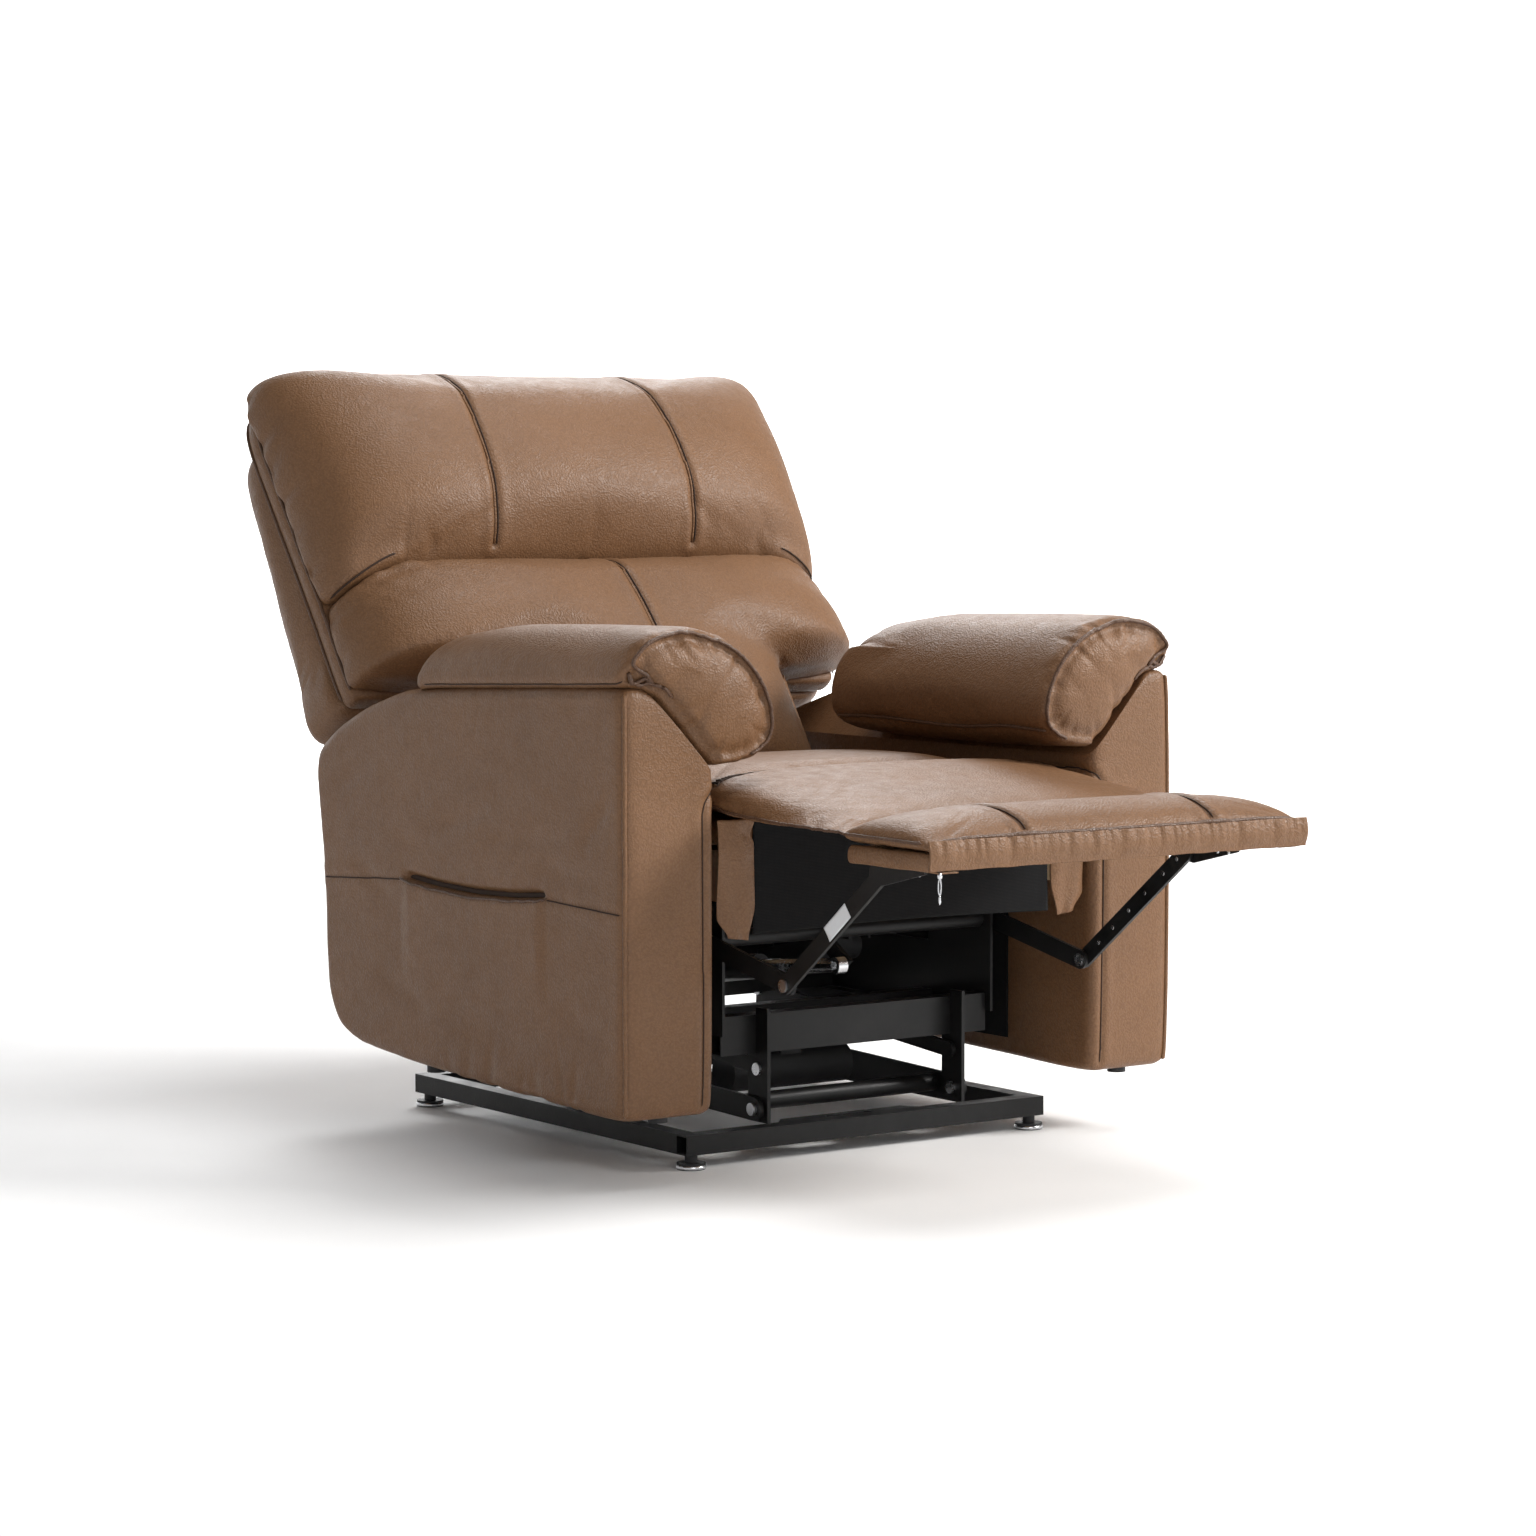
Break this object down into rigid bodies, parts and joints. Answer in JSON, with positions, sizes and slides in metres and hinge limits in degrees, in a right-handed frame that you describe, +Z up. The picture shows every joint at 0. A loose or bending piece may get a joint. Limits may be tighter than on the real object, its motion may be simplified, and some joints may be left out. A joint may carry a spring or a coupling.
{
  "type": "lift recliner chair",
  "caption": "Padded leather armchair on a steel lift base, with a reclining back, a fold-out footrest and soft pillow arms.",
  "frame": {"origin": "on the floor, under the middle of the chair with the lift down, the footrest out and the back part reclined", "axes": "+Z up; the sitter faces -Y; +X is the sitter's left"},
  "size_m": [0.86, 1.4237, 1.0299],
  "materials": {
    "brown_leather": "soft satin, fine pebble grain",
    "black_lining": "matte non-woven cloth",
    "frame_wood": "plain plywood",
    "zinc_plate": "zinc plated",
    "black_plastic": "matte",
    "black_steel": "satin powder coat"
  },
  "bodies": {
    "base": {"base_front_bar": "black_steel", "base_rear_bar": "black_steel", "base_mid_bar": "black_steel", "base_side_rail_left": "black_steel", "base_side_rail_right": "black_steel", "base_stiffener_plate": "black_steel", "base_uprights": "black_steel", "levelling_feet": "black_plastic", "lift_pivot_bolts_rear": "zinc_plate", "lift_actuator_lug": "black_steel"},
    "lift_links_low": {"lift_links_lower": "black_steel", "lift_cross_tube": "black_steel"},
    "lift_links_high": {"lift_links_upper": "black_steel"},
    "lift_motor": {"lift_actuator_housing": "black_plastic"},
    "lift_ram": {"lift_actuator_rod": "zinc_plate"},
    "footrest": {"footrest_pad": "brown_leather", "footrest_board": "frame_wood", "footrest_brackets": "black_steel"},
    "footrest_links_low": {"footrest_links_lower": "black_steel", "footrest_drive_tube": "black_steel", "footrest_link_rivets": "zinc_plate"},
    "footrest_links_high": {"footrest_links_upper": "black_steel"},
    "footrest_motor": {"footrest_actuator_housing": "black_plastic"},
    "footrest_ram": {"footrest_actuator_rod": "zinc_plate"},
    "back_part": {"back_cushion_head": "brown_leather", "back_cushion_lumbar": "brown_leather", "back_shell": "brown_leather", "back_frame_rails": "frame_wood", "back_frame_uprights": "frame_wood", "back_frame_wings": "frame_wood", "back_hinge_straps": "black_steel", "back_lever": "black_steel"},
    "back_motor": {"back_actuator_housing": "black_plastic"},
    "back_ram": {"back_actuator_rod": "zinc_plate"},
    "chair_body": {"actuator_brackets": "black_steel", "arm_body_left": "brown_leather", "arm_body_right": "brown_leather", "arm_glides": "black_plastic", "arm_linings": "black_lining", "arm_pillow_left": "brown_leather", "arm_pillow_right": "brown_leather", "arm_pocket_panel": "brown_leather", "back_hinge_brackets": "black_steel", "control_box": "black_plastic", "lift_brackets": "black_steel", "lift_frame_front_bar": "black_steel", "lift_frame_rear_bar": "black_steel", "lift_frame_side_rail_left": "black_steel", "lift_frame_side_rail_right": "black_steel", "lift_pivot_bolts_front": "zinc_plate", "mechanism_plate_left": "black_steel", "mechanism_plate_right": "black_steel", "rear_dust_cloth": "black_lining", "seat_cushion": "brown_leather", "seat_deck": "frame_wood", "seat_front_cloth": "black_lining", "seat_front_flaps": "brown_leather", "seat_rail_front": "frame_wood", "seat_rails_cross": "frame_wood", "seat_rails_side": "frame_wood"}
  },
  "joints": [
    {"name": "lift", "type": "hinge", "parent": "base", "child": "lift_links_low", "pos_m": [0, 0.23, 0.075], "axis": [-1, 0, 0], "range_deg": [0, 40]},
    {"name": "lift_tilt", "type": "hinge", "parent": "lift_links_low", "child": "chair_body", "pos_m": [0, -0.19, 0.063], "axis": [1, 0, 0], "range_deg": [0, 68.5]},
    {"name": "lift_upper_pivot", "type": "hinge", "parent": "base", "child": "lift_links_high", "pos_m": [0, 0.231, 0.149], "axis": [-1, 0, 0], "range_deg": [0, 38.3]},
    {"name": "lift_motor_pivot", "type": "hinge", "parent": "chair_body", "child": "lift_motor", "pos_m": [0, -0.06, 0.13], "axis": [-1, 0, 0], "range_deg": [0, 63.8]},
    {"name": "lift_ram_slide", "type": "slide", "parent": "lift_motor", "child": "lift_ram", "axis": [0, 0.9916, -0.1293], "range_m": [0, 0.1045]},
    {"name": "footrest_fold", "type": "hinge", "parent": "chair_body", "child": "footrest", "pos_m": [0, -0.34, 0.47], "axis": [1, 0, 0], "range_deg": [0, 90]},
    {"name": "footrest_low_pivot", "type": "hinge", "parent": "chair_body", "child": "footrest_links_low", "pos_m": [0, -0.17, 0.278], "axis": [1, 0, 0], "range_deg": [0, 115.5]},
    {"name": "footrest_knee_pivot", "type": "hinge", "parent": "footrest_links_low", "child": "footrest_links_high", "pos_m": [0, -0.357, 0.24], "axis": [-1, 0, 0], "range_deg": [0, 111.2]},
    {"name": "footrest_motor_pivot", "type": "hinge", "parent": "chair_body", "child": "footrest_motor", "pos_m": [-0.06, 0.165, 0.2], "axis": [-1, 0, 0], "range_deg": [0, 2.6]},
    {"name": "footrest_ram_slide", "type": "slide", "parent": "footrest_motor", "child": "footrest_ram", "axis": [0, 0.9948, -0.102], "range_m": [0, 0.118]},
    {"name": "back_recline", "type": "hinge", "parent": "chair_body", "child": "back_part", "pos_m": [0, 0.29, 0.4], "axis": [-1, 0, 0], "range_deg": [-14, 24]},
    {"name": "back_motor_pivot", "type": "hinge", "parent": "chair_body", "child": "back_motor", "pos_m": [0.09, -0.06, 0.262], "axis": [1, 0, 0], "range_deg": [-5.1, 8.6]},
    {"name": "back_ram_slide", "type": "slide", "parent": "back_motor", "child": "back_ram", "axis": [0, 0.978, 0.2086], "range_m": [-0.021, 0.0125]}
  ],
  "couplings": [
    {"joint": "lift_tilt", "follows": "lift", "ratio": 1.7},
    {"joint": "lift_upper_pivot", "follows": "lift", "ratio": 0.95},
    {"joint": "lift_motor_pivot", "follows": "lift", "ratio": 1.5854},
    {"joint": "lift_ram_slide", "follows": "lift", "m_per_rad": 0.1485},
    {"joint": "footrest_low_pivot", "follows": "footrest_fold", "ratio": 1.278},
    {"joint": "footrest_knee_pivot", "follows": "footrest_fold", "ratio": 1.2311},
    {"joint": "footrest_motor_pivot", "follows": "footrest_fold", "ratio": 0.0275},
    {"joint": "footrest_ram_slide", "follows": "footrest_fold", "m_per_rad": 0.07462},
    {"joint": "back_motor_pivot", "follows": "back_recline", "ratio": 0.35271},
    {"joint": "back_ram_slide", "follows": "back_recline", "m_per_rad": -0.048367}
  ]
}
